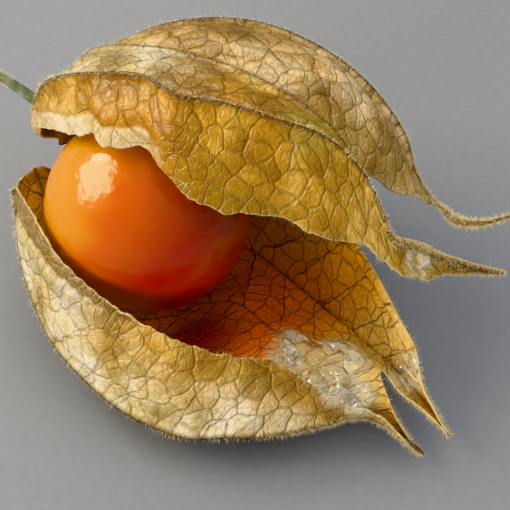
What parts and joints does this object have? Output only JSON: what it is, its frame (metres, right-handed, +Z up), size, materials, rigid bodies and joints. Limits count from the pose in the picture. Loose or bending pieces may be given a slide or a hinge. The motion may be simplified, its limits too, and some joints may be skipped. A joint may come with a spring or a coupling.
{
  "type": "physalis berry in its husk",
  "caption": "Round orange physalis berry lying in its papery lantern husk, torn open along one side, with ribbed lobes ending in thin tips and a short stalk.",
  "frame": {"origin": "on the resting surface straight below the middle of the berry, in the small flat spot that the husk rests on", "axes": "+X along the husk from the stalk to the tips, +Z up from the resting surface, +Y towards the whole back of the husk and away from its torn side"},
  "size_m": [0.0574, 0.0336, 0.0257],
  "materials": {
    "husk_paper": "dry papery leaf tissue, satin sheen, veined",
    "berry_skin": "smooth waxy glossy fruit skin",
    "stalk_skin": "dry green stalk with short hairs"
  },
  "bodies": {
    "root": {"husk": "husk_paper", "berry": "berry_skin", "stalk": "stalk_skin"}
  },
  "joints": []
}
